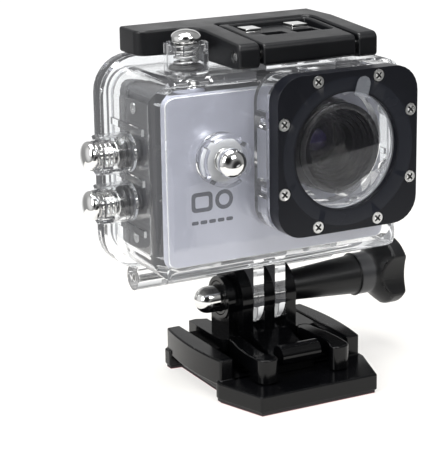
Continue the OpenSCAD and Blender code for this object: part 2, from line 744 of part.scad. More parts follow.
module middle_frame() {
    color("dimgray") difference() {
        along_y(frame_y0, frame_y1) cam_outline(0.4);
        along_y(frame_y0 - 1, frame_y1 + 1) cam_outline(0.4 + frame_wall);
        // Openings for the shutter and side buttons
        translate([shutter_at[0], shutter_at[1], cam_mid]) cylinder(d = 8.3, h = cam_h);
        for (z = [up_z, down_z]) bar_x(5.3, -40, -20, side_y, z);
        // Battery door, card slot and ports
        block(batt_x, batt_y, [cam_z0 - 1, cam_z0 + 3]);
        block([20, 40], [8.6, 10.8], [58.6, 70.4]);
        block([20, 40], [4, 12], [40, 50]);
        // Speaker slots
        for (i = [0:4]) block([20, 40], [4 + i * 1.6, 4.8 + i * 1.6], [53, 57.5]);
        // Screw holes
        for (z = frame_screw_z) bar_x(1.7, -40, 40, frame_screw_y, z);
    }
}

module rear_cover() {
    color("dimgray") difference() {
        along_y(frame_y1, cam_y1) cam_outline();
        along_y(frame_y1 - 1, cam_y1 - cover_t) cam_outline(cover_t);
        block([cam_x - 24.6, cam_x + 24.6], [cam_y1 - 0.8, cam_y1 + 1], [37.6, 70.9]);
        block([cam_x - 22, cam_x + 22], [cam_y1 - 3, cam_y1 + 1], [40.4, 68.4]);
    }
}

module frame_screws() {
    outer = cam_w / 2 - 0.4;
    color("silver") for (s = [-1, 1], z = frame_screw_z)
        translate([cam_x, frame_screw_y, z]) rotate([0, 90 * s, 0]) {
            translate([0, 0, outer - 4]) cylinder(d = 1.6, h = 4.01);
            translate([0, 0, outer]) difference() {
                cylinder(d = 2.8, h = 0.35);
                for (a = [0, 90]) rotate([0, 0, a]) translate([-0.9, -0.2, 0.15]) cube([1.8, 0.4, 1]);
            }
        }
}

module screen_glass() {
    color("black") block([cam_x - 24.5, cam_x + 24.5], [cam_y1 - 0.8, cam_y1], [37.7, 70.8]);
}

module screen_panel() {
    color("gray") block([cam_x - 21.8, cam_x + 21.8], [cam_y1 - 2.6, cam_y1 - 0.85], [40.6, 68.2]);
}

module lens_barrel() {
    color("black") difference() {
        union() {
            bar_y(barrel_d, barrel_y0, cam_y0 + cover_t + 0.1, lens_x, lens_z);
            bar_y(barrel_d + 3, cam_y0 + cover_t + 0.02, 1.4, lens_x, lens_z);
            bar_y(14, 1, 7, lens_x, lens_z);
        }
        translate([lens_x, barrel_y0 - 0.01, lens_z]) rotate([-90, 0, 0])
            cylinder(d1 = barrel_d - 3, d2 = 11, h = 6);
        bar_y(11, barrel_y0 + 5, 8, lens_x, lens_z);
        bar_y(barrel_d - 2.9, barrel_y0 - 1, barrel_y0 + 1.3, lens_x, lens_z);
    }
}

module lens_trim_ring() {
    color("gray") difference() {
        bar_y(barrel_d, barrel_y0 - 0.45, barrel_y0, lens_x, lens_z);
        bar_y(barrel_d - 3, barrel_y0 - 1, barrel_y0 + 1, lens_x, lens_z);
    }
}

// Front lens element: flat behind, slightly domed in front
module lens_front_glass() {
    r = barrel_d / 2 - 1.5;
    color("blue") translate([lens_x, barrel_y0 + 1.2, lens_z]) rotate([90, 0, 0])
        rotate_extrude() polygon([[0, 0], [r, 0], [r, 0.8], [r * 0.75, 1.15], [r * 0.45, 1.4], [0, 1.5]]);
}

module rear_element() {
    color("purple") bar_y(10.9, 1.2, 3, lens_x, lens_z);
}

module sensor_board() {
    color("green") block([lens_x - 9, lens_x + 9], [7.1, 8.1], [lens_z - 9, lens_z + 9]);
}

module main_board() {
    color("green") difference() {
        block([cam_x - 26, cam_x + 26], [14.2, 15.4], [37, 71]);
        for (x = [-24, 23], z = frame_screw_z) bar_y(2.2, 14, 16, cam_x + x, z);
    }
}

module battery() { color("gray") block([-13, 19], [2.9, 13.1], [cam_z0 + 3.4, 49.8]); }

module battery_door() {
    color("dimgray") difference() {
        block([batt_x[0] + 0.15, batt_x[1] - 2.4], [batt_y[0] + 0.15, batt_y[1] - 0.15],
              [cam_z0 + 0.4, cam_z0 + 1.9]);
        for (i = [0:2]) block([batt_x[0] + 2 + i * 1.5, batt_x[0] + 2.7 + i * 1.5],
                              [batt_y[0] + 2, batt_y[1] - 2], [cam_z0, cam_z0 + 0.8]);
    }
}

module memory_card() { color("black") block([14.4, 28.2], [9.2, 10.2], [59, 70]); }

module speaker() { color("black") block([21.4, 26.8], [4, 12], [52, 58.4]); }

module ports() {
    color("silver") {
        difference() {
            block([22.6, 28.6], [4.4, 7.6], [41, 49]);
            block([24, 29], [5, 7], [41.6, 48.4]);
        }
        difference() {
            block([22.6, 28.6], [8.2, 11.6], [41, 49]);
            block([24, 29], [8.8, 11], [41.6, 48.4]);
        }
    }
}

module camera_shutter_button() {
    color("silver") translate([shutter_at[0], shutter_at[1], 0]) {
        translate([0, 0, cam_z0 + cam_h - 2]) cylinder(d = 8.1, h = 2.5);
        translate([0, 0, cam_z0 + cam_h - 3]) cylinder(d = 3, h = 1.5);
    }
}

module camera_power_button() {
    color("silver") bar_y(6.1, cam_y0, cam_y0 + 2, power_at[0], power_at[2]);
}

module side_key(z) { bar_x(5.1, cam_x - cam_w / 2 - 0.35, cam_x - cam_w / 2 + 2, side_y, z); }
module camera_up_button() { color("dimgray") side_key(up_z); }
module camera_down_button() { color("dimgray") side_key(down_z); }

adhesive_pad();
base_plate();
clip_body();
release_arm_left();
release_arm_right();
dome_nut();
clamp_bolt();
clamp_knob();
front_shell();
lens_bezel();
bezel_screws();
lens_window();
window_seal();
lens_film();
back_door();
door_seal();
door_hinge_pin();
latch_base();
latch_lever();
latch_pin();
lock_slider();
shutter_plunger();
shutter_spring();
shutter_seal();
shutter_clip();
power_plunger();
power_spring();
power_seal();
power_clip();
up_plunger();
up_spring();
up_seals();
up_clip();
down_plunger();
down_spring();
down_seals();
down_clip();
front_cover();
middle_frame();
rear_cover();
frame_screws();
screen_glass();
screen_panel();
lens_barrel();
lens_front_glass();
lens_trim_ring();
rear_element();
sensor_board();
main_board();
battery();
battery_door();
memory_card();
speaker();
ports();
camera_shutter_button();
camera_power_button();
camera_up_button();
camera_down_button();
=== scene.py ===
"""Looks of the action camera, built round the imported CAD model. Lengths in millimetres times MM."""

import json
import math

import bmesh
import bpy
from mathutils import Matrix, Vector

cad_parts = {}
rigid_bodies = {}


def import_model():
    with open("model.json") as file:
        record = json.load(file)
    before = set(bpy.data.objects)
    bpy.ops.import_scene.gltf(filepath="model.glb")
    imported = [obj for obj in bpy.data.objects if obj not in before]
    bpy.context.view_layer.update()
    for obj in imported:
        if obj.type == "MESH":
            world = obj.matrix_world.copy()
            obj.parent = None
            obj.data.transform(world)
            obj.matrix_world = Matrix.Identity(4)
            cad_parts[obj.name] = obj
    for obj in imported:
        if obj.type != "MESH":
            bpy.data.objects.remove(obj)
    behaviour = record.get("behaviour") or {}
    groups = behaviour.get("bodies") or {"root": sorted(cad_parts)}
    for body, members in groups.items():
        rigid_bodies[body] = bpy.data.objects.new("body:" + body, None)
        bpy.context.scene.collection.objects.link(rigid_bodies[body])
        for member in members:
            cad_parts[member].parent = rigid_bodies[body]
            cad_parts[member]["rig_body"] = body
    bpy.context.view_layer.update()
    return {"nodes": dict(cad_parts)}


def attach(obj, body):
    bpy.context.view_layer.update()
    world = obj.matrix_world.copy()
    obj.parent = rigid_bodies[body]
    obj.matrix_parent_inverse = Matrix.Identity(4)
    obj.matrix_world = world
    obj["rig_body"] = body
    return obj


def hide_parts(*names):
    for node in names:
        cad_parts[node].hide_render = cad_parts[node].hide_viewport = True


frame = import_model()
nodes = frame["nodes"]
MM = 0.001

# ---- Dimensions shared with the CAD model, in millimetres ----
PIVOT = (10.3, 19.9)  # Y and Z of the clamp screw
BOSS_X0 = -10.6  # outer face of the clip's nut boss
LENS_X, LENS_Z = 12.0, 59.5
LENS_AT = (LENS_X, 0, LENS_Z)
BEZEL_Y0 = -14.5
BARREL_Y0 = -9.9
CAM_Y0 = -2.1  # front face of the camera
CAV_Y0, CAV_Z1 = -2.5, 76.4  # front and top of the housing's cavity
CAV_X0 = -31.5
SIDE_Y, UP_Z, DOWN_Z = 10.5, 60.2, 48.2
# Bezel screws, from the lens axis: along a side of the bezel, and out to that side
SCREW_NEAR, SCREW_FAR = 8.33, 17.5


# ---- Node helpers for materials ----
def node_tree(name):
    mat = bpy.data.materials.new(name)
    mat.use_nodes = True
    nt = mat.node_tree
    nt.nodes.clear()
    out = nt.nodes.new("ShaderNodeOutputMaterial")
    return mat, nt, out


def noise(nt, coord, size, detail, rough=0.55):
    """Noise whose patches are about size millimetres wide."""
    n = nt.nodes.new("ShaderNodeTexNoise")
    n.inputs["Scale"].default_value = 1 / (size * MM)
    n.inputs["Detail"].default_value = detail
    n.inputs["Roughness"].default_value = rough
    nt.links.new(coord, n.inputs["Vector"])
    return n.outputs["Fac"]


def spread(nt, value, low, high):
    """Stretches the middle of a noise value over the range low to high."""
    m = nt.nodes.new("ShaderNodeMapRange")
    m.inputs["From Min"].default_value = 0.3
    m.inputs["From Max"].default_value = 0.7
    m.inputs["To Min"].default_value = low
    m.inputs["To Max"].default_value = high
    nt.links.new(value, m.inputs["Value"])
    return m.outputs["Result"]


def tint(nt, value, a, b):
    """Mixes two colours by a value."""
    m = nt.nodes.new("ShaderNodeMix")
    m.data_type = "RGBA"
    m.inputs[6].default_value = (*a, 1)
    m.inputs[7].default_value = (*b, 1)
    nt.links.new(value, m.inputs["Factor"])
    return m.outputs[2]


def bump(nt, height, strength, distance):
    b = nt.nodes.new("ShaderNodeBump")
    b.inputs["Strength"].default_value = strength
    b.inputs["Distance"].default_value = distance * MM
    nt.links.new(height, b.inputs["Height"])
    return b.outputs["Normal"]


def solid(name, dark, light, rough, grain=0.0, grain_size=0.25, metal=0.0, spec=0.5, coat=0.0,
          coat_rough=0.08, patch=9.0, alpha=1.0):
    """Opaque material: two close tones in soft patches, roughness that varies, and a fine grain."""
    mat, nt, out = node_tree(name)
    coord = nt.nodes.new("ShaderNodeTexCoord").outputs["Object"]
    p = nt.nodes.new("ShaderNodeBsdfPrincipled")
    p.inputs["Metallic"].default_value = metal
    p.inputs["Specular IOR Level"].default_value = spec
    p.inputs["Alpha"].default_value = alpha
    p.inputs["Coat Weight"].default_value = coat
    p.inputs["Coat Roughness"].default_value = coat_rough
    soft = noise(nt, coord, patch, 2.0)
    nt.links.new(tint(nt, soft, dark, light), p.inputs["Base Color"])
    nt.links.new(spread(nt, soft, *rough), p.inputs["Roughness"])
    if grain:
        fine = noise(nt, coord, grain_size, 2.0, 0.6)
        nt.links.new(bump(nt, fine, grain, 0.05), p.inputs["Normal"])
    nt.links.new(p.outputs[0], out.inputs["Surface"])
    return mat


def clear(name, colour, rough, ior, waves=0.0, wave_size=6.0, shade=0.92, painted_glow=0.0):
    """Clear plastic or glass that lets lamps through to what it holds. Its last argument sets a faint
    even emission, painted light that lifts the clear walls.
    """
    mat, nt, out = node_tree(name)
    p = nt.nodes.new("ShaderNodeBsdfPrincipled")
    p.inputs["Base Color"].default_value = (*colour, 1)
    p.inputs["Transmission Weight"].default_value = 1.0
    p.inputs["Emission Color"].default_value = (0.93, 0.94, 1.0, 1)
    p.inputs["Emission Strength"].default_value = painted_glow
    p.inputs["Roughness"].default_value = rough
    p.inputs["IOR"].default_value = ior
    if waves:
        coord = nt.nodes.new("ShaderNodeTexCoord").outputs["Object"]
        wave = noise(nt, coord, wave_size, 1.0)
        nt.links.new(bump(nt, wave, waves, 0.4), p.inputs["Normal"])
    see = nt.nodes.new("ShaderNodeBsdfTransparent")
    see.inputs["Color"].default_value = (shade, shade, shade, 1)
    path = nt.nodes.new("ShaderNodeLightPath")
    mix = nt.nodes.new("ShaderNodeMixShader")
    nt.links.new(path.outputs["Is Shadow Ray"], mix.inputs["Fac"])
    nt.links.new(p.outputs[0], mix.inputs[1])
    nt.links.new(see.outputs[0], mix.inputs[2])
    nt.links.new(mix.outputs[0], out.inputs["Surface"])
    return mat


# ---- Materials: black and dark plastics ----
M = {}
M["base"] = solid("base_plastic", (0.0016, 0.0017, 0.0021), (0.0026, 0.0027, 0.0033), (0.14, 0.22),
                  grain=0.1, grain_size=0.18, spec=0.28)
M["clip"] = solid("clip_plastic", (0.0012, 0.0013, 0.0016), (0.002, 0.0021, 0.0025), (0.1, 0.17),
                  grain=0.08, grain_size=0.18, spec=0.28)
M["knob"] = solid("knob_plastic", (0.0026, 0.0028, 0.0036), (0.004, 0.0043, 0.0052), (0.32, 0.42),
                  grain=0.25, grain_size=0.16, spec=0.35)
M["collar"] = solid("knob_collar", (0.03, 0.031, 0.034), (0.04, 0.041, 0.045), (0.3, 0.4),
                    grain=0.25, grain_size=0.16)
M["bezel"] = solid("bezel_plastic", (0.005, 0.0056, 0.0085), (0.0075, 0.0084, 0.0125), (0.28, 0.36),
                   grain=0.2, grain_size=0.14, spec=0.3)
# Lighter paint for the bezel's sloping dish: painted light, standing in for the light its tilt
# catches.
M["dish"] = solid("bezel_dish_painted_light", (0.011, 0.0125, 0.018), (0.014, 0.0158, 0.022), (0.2, 0.28),
                  grain=0.1, grain_size=0.14, spec=0.4)
M["latch"] = solid("latch_plastic", (0.0042, 0.0045, 0.0056), (0.0066, 0.007, 0.0084), (0.3, 0.4),
                   grain=0.25, grain_size=0.16, spec=0.4)
# Near black for the sunk cross in the bezel screws: painted shade where the recess is in shadow.
M["dark_slot"] = solid("recess_painted_shade", (0.003, 0.003, 0.0035), (0.005, 0.005, 0.0055), (0.5, 0.6))
M["camera"] = solid("camera_plastic", (0.018, 0.0185, 0.021), (0.036, 0.037, 0.041), (0.45, 0.6),
                    grain=0.8, grain_size=0.32, patch=0.5)
M["black"] = solid("moulded_black", (0.01, 0.01, 0.01), (0.015, 0.015, 0.015), (0.4, 0.5), grain=0.2)

# ---- Materials: metal and paint ----
M["chrome"] = solid("polished_chrome", (0.78, 0.78, 0.77), (0.86, 0.86, 0.85), (0.04, 0.09), metal=1.0)
M["steel"] = solid("plain_steel", (0.5, 0.5, 0.5), (0.66, 0.66, 0.65), (0.18, 0.3),
                   grain=0.1, grain_size=0.2, metal=1.0)
M["screw"] = solid("screw_steel", (0.88, 0.88, 0.87), (0.95, 0.95, 0.94), (0.22, 0.34),
                   grain=0.08, grain_size=0.2, metal=1.0)
M["silver"] = solid("silver_paint", (0.4, 0.41, 0.48), (0.5, 0.51, 0.59), (0.28, 0.34),
                    grain=0.1, grain_size=0.09, metal=0.4, coat=0.25, coat_rough=0.15)
# A bright paint for the front's bevelled edge: a painted highlight standing in for the light the
# chamfer catches.
M["rim"] = solid("rim_painted_highlight", (0.8, 0.81, 0.84), (0.88, 0.89, 0.91), (0.2, 0.3), metal=0.6)
M["print"] = solid("printed_ink", (0.035, 0.038, 0.055), (0.045, 0.048, 0.065), (0.4, 0.5))

# ---- Materials: rubber, foam, film and inner parts ----
M["rubber"] = solid("black_rubber", (0.004, 0.004, 0.004), (0.007, 0.007, 0.007), (0.35, 0.5),
                    grain=0.2, grain_size=0.15)
M["silicone"] = solid("pale_silicone", (0.4, 0.41, 0.43), (0.5, 0.51, 0.53), (0.25, 0.4),
                      grain=0.1, grain_size=0.3)
M["foam"] = solid("dark_foam", (0.012, 0.01, 0.011), (0.02, 0.016, 0.018), (0.6, 0.8),
                  grain=0.6, grain_size=0.2)
M["pink"] = solid("pink_liner", (0.5, 0.1, 0.14), (0.62, 0.16, 0.2), (0.4, 0.55),
                  grain=0.2, grain_size=0.3)
M["film"] = solid("thin_film", (0.3, 0.31, 0.34), (0.4, 0.41, 0.45), (0.16, 0.24),
                  grain=0.1, grain_size=0.4, spec=0.1, alpha=0.01)
M["tab"] = solid("film_tab", (0.3, 0.32, 0.36), (0.4, 0.42, 0.46), (0.25, 0.35),
                 grain=0.1, grain_size=0.4, alpha=0.3)
M["board"] = solid("circuit_board", (0.01, 0.07, 0.03), (0.015, 0.1, 0.04), (0.35, 0.5),
                   grain=0.3, grain_size=0.5)
M["cell"] = solid("cell_wrap", (0.2, 0.21, 0.22), (0.26, 0.27, 0.28), (0.3, 0.4))
M["screen"] = solid("screen_black", (0.004, 0.004, 0.005), (0.006, 0.006, 0.008), (0.04, 0.08),
                    coat=0.6)

# ---- Materials: lens and clear parts ----
M["barrel"] = solid("barrel_black", (0.003, 0.003, 0.0035), (0.005, 0.005, 0.0055), (0.3, 0.4),
                    grain=0.1, grain_size=0.15, spec=0.12)
M["ring"] = solid("barrel_ring", (0.05, 0.05, 0.053), (0.08, 0.08, 0.085), (0.2, 0.3), metal=0.8)
M["pupil"] = solid("lens_pupil", (0.012, 0.008, 0.05), (0.02, 0.012, 0.075), (0.04, 0.08),
                   spec=0.8, coat=0.5)
# The case glows faintly: painted light that lifts its walls and edges where little light reaches them.
M["case"] = clear("clear_polycarbonate", (0.985, 0.992, 0.995), 0.015, 1.5, waves=0.05, painted_glow=0.016)
M["pane"] = clear("window_glass", (0.99, 0.995, 1.0), 0.0, 1.45, shade=0.97)
M["element"] = clear("coated_lens", (0.92, 0.9, 0.98), 0.0, 1.14, shade=0.9)


# ---- Mesh helpers ----
def add_piece(name, mesh, mat, body, replaces=()):
    obj = bpy.data.objects.new(name, mesh)
    bpy.context.scene.collection.objects.link(obj)
    for m in mat if isinstance(mat, (list, tuple)) else [mat]:
        mesh.materials.append(m)
    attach(obj, body)
    if replaces:
        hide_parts(*replaces)
    return obj


def finish_mesh(bm, name):
    """Turns the faces outwards and stores them in a new mesh."""
    bmesh.ops.recalc_face_normals(bm, faces=bm.faces)
    mesh = bpy.data.meshes.new(name)
    bm.to_mesh(mesh)
    bm.free()
    return mesh


def clean_copy(node, cuts):
    """A bmesh of a CAD node with its doubled points and flat edges gone, cut along each plane."""
    bm = bmesh.new()
    bm.from_mesh(nodes[node].data)
    bmesh.ops.remove_doubles(bm, verts=bm.verts, dist=0.004 * MM)
    bmesh.ops.dissolve_limit(bm, angle_limit=math.radians(0.6), verts=bm.verts, edges=bm.edges)
    bmesh.ops.dissolve_degenerate(bm, edges=bm.edges, dist=0.004 * MM)
    for point, normal in cuts:
        bmesh.ops.bisect_plane(bm, geom=bm.verts[:] + bm.edges[:] + bm.faces[:], dist=1e-7,
                               plane_co=Vector(point) * MM, plane_no=normal)
    bm.normal_update()
    for name in bm.loops.layers.uv.keys():
        bm.loops.layers.uv.remove(bm.loops.layers.uv[name])
    return bm


def refine(node, mat, bevel, segments, angle=32, pick=None, edge_mat=-1, cuts=(), clamp=True):
    """A copy of a CAD node with its edges rounded. pick(centre, normal) chooses the material slot."""
    bm = clean_copy(node, cuts)
    clean = bpy.data.meshes.new(node + "_body")
    for f in bm.faces:
        f.smooth = True
        f.material_index = pick(f.calc_center_median() / MM, f.normal) if pick else 0
    bm.to_mesh(clean)
    bm.free()
    obj = add_piece(node + "_body", clean, mat, nodes[node]["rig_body"], (node,))
    if bevel:
        b = obj.modifiers.new("round_edges", "BEVEL")
        b.width = bevel * MM
        b.segments = segments
        b.limit_method = "ANGLE"
        b.angle_limit = math.radians(angle)
        b.use_clamp_overlap = clamp
        b.miter_outer = "MITER_ARC"
        b.material = edge_mat
    w = obj.modifiers.new("even_normals", "WEIGHTED_NORMAL")
    w.keep_sharp = False
    w.weight = 60
    return obj


# Turns the Z axis of a profile to each direction that a turned piece points in
AXES = {
    "-x": Matrix(((0, 0, -1), (0, 1, 0), (1, 0, 0))),
    "y": Matrix(((1, 0, 0), (0, 0, 1), (0, -1, 0))),
    "-y": Matrix(((1, 0, 0), (0, 0, -1), (0, 1, 0))),
    "z": Matrix(((1, 0, 0), (0, 1, 0), (0, 0, 1))),
}


def lathe_into(bm, profile, centre, axis, steps, mat_index):
    """Turns (height, radius) points in millimetres round an axis through centre."""
    turn = AXES[axis]
    centre = Vector(centre)
    angles = [2 * math.pi * i / steps for i in range(steps)]
    rings = []
    for w, r in profile:
        spots = [(0, 0, w)] if r <= 1e-6 else [(r * math.cos(a), r * math.sin(a), w) for a in angles]
        rings.append([bm.verts.new((turn @ Vector(p) + centre) * MM) for p in spots])
    for a, b in zip(rings, rings[1:]):
        if len(a) == 1 and len(b) == 1:
            continue
        for i in range(steps):
            j = (i + 1) % steps
            if len(a) == 1:
                corners = (a[0], b[j], b[i])
            elif len(b) == 1:
                corners = (a[i], a[j], b[0])
            else:
                corners = (a[i], a[j], b[j], b[i])
            f = bm.faces.new(corners)
            f.smooth = True
            f.material_index = mat_index


def sharp_by_angle(obj, degrees):
    """Marks edges sharper than the angle, so that flat and round faces keep their own shading."""
    bm = bmesh.new()
    bm.from_mesh(obj.data)
    for e in bm.edges:
        e.smooth = len(e.link_faces) == 2 and e.calc_face_angle(0) < math.radians(degrees)
    bm.to_mesh(obj.data)
    bm.free()


def lathe(name, profiles, centre, axis, mat, body, replaces=(), steps=64):
    """A turned piece. With a list of materials, each profile has its own."""
    bm = bmesh.new()
    for k, profile in enumerate(profiles):
        lathe_into(bm, profile, centre, axis, steps, k if isinstance(mat, list) else 0)
    obj = add_piece(name, finish_mesh(bm, name), mat, body, replaces)
    sharp_by_angle(obj, 38)


def dome(base_w, top_w, r, n=8, round_base=0.25):
    """Profile points of a cap with a rounded lower edge and a domed top."""
    pts = [(base_w, r - round_base), (base_w + round_base * 0.3, r - round_base * 0.3),
           (base_w + round_base, r)]
    skirt = base_w + (top_w - base_w) * 0.36
    for i in range(n + 1):
        a = math.pi / 2 * i / n
        pts.append((skirt + (top_w - skirt) * math.sin(a), r * math.cos(a) if i < n else 0.0))
    return pts


def lens_profile(y_edge, r, rise, back, n=10):
    """A lens: domed towards -Y by rise, with a flat back at y = back."""
    pts = [(back, 0.0), (back, r), (y_edge, r)]
    pts += [(y_edge - rise * math.sin(math.pi / 2 * i / n), r * math.cos(math.pi / 2 * i / n))
            for i in range(1, n)]
    return pts + [(y_edge - rise, 0.0)]


def helix(name, centre, axis, r, wire, w0, w1, turns, mat, body, replaces):
    """A coil spring from w0 to w1 along the axis, with flat half-turns at its ends."""
    turn = AXES[axis]
    centre = Vector(centre)
    steps, sides = 28, 10
    n = int(turns * steps)
    bm = bmesh.new()
    rings = []
    for i in range(n + 1):
        a = 2 * math.pi * i / steps
        lift = max(0.0, min(1.0, (i / n * turns - 0.5) / max(turns - 1.0, 0.1)))
        z = w0 + wire / 2 + (w1 - w0 - wire) * lift
        ring = []
        for s in range(sides):
            q = 2 * math.pi * s / sides
            rr = r + wire / 2 * math.cos(q)
            p = Vector((rr * math.cos(a), rr * math.sin(a), z + wire / 2 * math.sin(q)))
            ring.append(bm.verts.new((turn @ p + centre) * MM))
        rings.append(ring)
    for a, b in zip(rings, rings[1:]):
        for s in range(sides):
            t = (s + 1) % sides
            bm.faces.new((a[s], b[s], b[t], a[t])).smooth = True
    bm.faces.new(rings[0])
    bm.faces.new(list(reversed(rings[-1])))
    add_piece(name, finish_mesh(bm, name), mat, body, replaces)


def screw_reach(point):
    """Distance of a point from the axis of the nearest bezel screw."""
    places = [(a * SCREW_NEAR, b * SCREW_FAR) for a in (-1, 1) for b in (-1, 1)]
    places += [(b, a) for a, b in places]
    return min(math.hypot(point.x - LENS_X - a, point.z - LENS_Z - b) for a, b in places)


# ---- Base, clip and clamp ----
LINER_TOP = 0.12  # the coloured liner under the adhesive foam
refine("adhesive_pad", [M["foam"], M["pink"]], 0.1, 1, cuts=[((0, 0, LINER_TOP), (0, 0, 1))],
       pick=lambda c, n: 1 if c.z < LINER_TOP else 0)
refine("base_plate", M["base"], 0.45, 3, clamp=False)
refine("clip_body", M["clip"], 0.4, 3)
refine("release_arm_left", M["clip"], 0.4, 3)
refine("release_arm_right", M["clip"], 0.4, 3)


def on_collar(c, n):
    """The lighter collar inside the knob's lobes."""
    return 1 if 28.8 < c.x < 32.6 and math.hypot(c.y - PIVOT[0], c.z - PIVOT[1]) < 5.6 else 0


refine("clamp_knob", [M["knob"], M["collar"]], 0.5, 3, clamp=False, pick=on_collar)
refine("clamp_bolt", M["steel"], 0.15, 2)

# Nut seat in black, then the bright barrel and round end of the dome nut
NUT_R, NUT_BARREL = 3.35, 3.15
nut_seat = [(-1.9, 2.62), (-1.9, 4.1), (-1.7, 4.3), (-0.2, 4.3), (-0.05, 4.15), (-0.05, 3.55),
            (0.2, NUT_R)]
nut_end = [(0.2, NUT_R), (NUT_BARREL, NUT_R)]
nut_end += [(NUT_BARREL + NUT_R * math.sin(math.pi * i / 24), NUT_R * math.cos(math.pi * i / 24))
            for i in range(1, 12)]
nut_end += [(NUT_BARREL + NUT_R, 0.0)]
lathe("dome_nut_cap", [nut_seat, nut_end], (BOSS_X0, *PIVOT), "-x", [M["clip"], M["chrome"]], "clip",
      ("dome_nut",))

# ---- Push buttons ----
# cup: bore of the clear cup. cap: radius, underside and top of the cap. tip: inner end of the stem.
side_button = dict(axis="-x", cup=7.8, cap=(3.6, 11.8, 14.5), tip=-0.9, rings=2)
BUTTONS = {
    "shutter": dict(at=(-20.4, 6.0, CAV_Z1), axis="z", cup=8.6, cap=(3.6, 9.5, 12.4), tip=-1.1,
                    rings=1),
    "power": dict(at=(-17.3, CAV_Y0, 59.5), axis="-y", cup=10.8, cap=(3.55, 6.8, 10.5), tip=-0.3,
                  rings=1),
    "up": dict(at=(CAV_X0, SIDE_Y, UP_Z), **side_button),
    "down": dict(at=(CAV_X0, SIDE_Y, DOWN_Z), **side_button),
}
CUP_FLOOR = 2.8
SEAL_WIRE = 1.4
GAP = 0.05
STEM_R, GROOVE_R = 1.5, 1.1
COIL_R, COIL_WIRE, COIL_PITCH = 2.75, 0.55, 1.25

for key, b in BUTTONS.items():
    r, w0, w1 = b["cap"]
    stem = [(b["tip"], 0.0), (b["tip"], STEM_R - 0.15), (b["tip"] + 0.15, STEM_R), (0.62, STEM_R),
            (0.62, GROOVE_R), (1.18, GROOVE_R), (1.18, STEM_R), (w0, STEM_R)]
    lathe(key + "_cap", [stem + dome(w0, w1, r)], b["at"], b["axis"], M["chrome"], key + "_push",
          (key + "_plunger",))
    seal_top = CUP_FLOOR + GAP + b["rings"] * (SEAL_WIRE + GAP)
    turns = max(2, round((w0 - seal_top - 0.1) / COIL_PITCH)) + 0.5
    helix(key + "_coil", b["at"], b["axis"], COIL_R, COIL_WIRE, seal_top + GAP, w0 - GAP, turns,
          M["steel"], "housing", (key + "_spring",))
    inner, outer = STEM_R + 0.08, b["cup"] / 2 - 0.03
    mid, half = (inner + outer) / 2, (outer - inner) / 2
    tori = []
    for i in range(b["rings"]):
        z = CUP_FLOOR + GAP + SEAL_WIRE / 2 + i * (SEAL_WIRE + GAP)
        tori.append([(z + SEAL_WIRE / 2 * math.sin(math.tau * q / 20),
                      mid + half * math.cos(math.tau * q / 20)) for q in range(21)])
    seal_name = key + ("_seals" if b["rings"] > 1 else "_seal")
    lathe(key + "_rubber", tori, b["at"], b["axis"], M["silicone" if key == "power" else "rubber"],
          "housing", (seal_name,))
    refine(key + "_clip", M["steel"], 0.06, 1)


# ---- Housing ----
def on_dish(c, n):
    """The sloping dish round the bezel's opening, painted lighter than the face: painted light for the
    light its slope catches.
    """
    return 1 if c.y < BEZEL_Y0 + 0.95 and -0.9995 < n.y < -0.8 else 0


def in_screw_cross(c, n):
    """The sunk cross in a screw's head, painted near black: painted shade inside the recess."""
    return 1 if BEZEL_Y0 + 0.15 < c.y < BEZEL_Y0 + 0.7 and screw_reach(c) < 1.05 else 0


FILM_TAB_Y = BEZEL_Y0 + 0.2  # the film's pull tab is in front of this plane
refine("front_shell", M["case"], 0.35, 2, angle=40)
refine("back_door", M["case"], 0.4, 2, angle=40)
refine("lens_bezel", [M["bezel"], M["dish"]], 0.45, 3, angle=40, pick=on_dish)
refine("door_seal", M["silicone"], 0.1, 1)
refine("window_seal", M["silicone"], 0.08, 1)
refine("door_hinge_pin", M["steel"], 0.2, 2)
refine("latch_pin", M["steel"], 0.2, 2)
refine("bezel_screws", [M["screw"], M["dark_slot"]], 0.1, 2, angle=50, pick=in_screw_cross)
refine("lens_window", M["pane"], 0.1, 1)
refine("lens_film", [M["film"], M["tab"]], 0.0, 0, cuts=[((0, FILM_TAB_Y, 0), (0, 1, 0))],
       pick=lambda c, n: 1 if c.y < FILM_TAB_Y else 0)

# ---- Latch ----
PADS_Z = 86.2  # the lock slider's bright pads stand above this height
refine("latch_lever", M["latch"], 0.6, 3, clamp=False)
refine("latch_base", M["latch"], 0.5, 3, clamp=False)
refine("lock_slider", [M["latch"], M["chrome"]], 0.15, 2, pick=lambda c, n: 1 if c.z > PADS_Z else 0)

# ---- Camera ----
# The bevel faces take the bright rim paint, a painted highlight along the silver front's edge.
refine("front_cover", [M["silver"], M["rim"]], 0.5, 2, angle=60, edge_mat=1)
refine("middle_frame", M["camera"], 0.12, 1)
refine("rear_cover", M["camera"], 0.5, 2)
refine("screen_glass", M["screen"], 0.15, 2)
refine("frame_screws", M["steel"], 0.06, 1)
for n, m in (("camera_up_button", "camera"), ("camera_down_button", "camera"),
             ("camera_shutter_button", "silver"), ("camera_power_button", "silver")):
    refine(n, M[m], 0.2, 2)
for n, m in (("screen_panel", "cell"), ("sensor_board", "board"), ("main_board", "board"),
             ("battery", "cell"), ("battery_door", "camera"), ("memory_card", "black"),
             ("speaker", "black"), ("ports", "steel")):
    refine(n, M[m], 0.12, 1)


# ---- The mark printed on the front: a frame, a ring and five dashes ----
def rounded(x0, x1, z0, z1, r, n=5):
    """Corner points of a rounded rectangle, in millimetres, anticlockwise."""
    pts = []
    for cx, cz, a0 in ((x1 - r, z1 - r, 0), (x0 + r, z1 - r, 90), (x0 + r, z0 + r, 180),
                       (x1 - r, z0 + r, 270)):
        for i in range(n + 1):
            a = math.radians(a0 + 90 * i / n)
            pts.append((cx + r * math.cos(a), cz + r * math.sin(a)))
    return pts


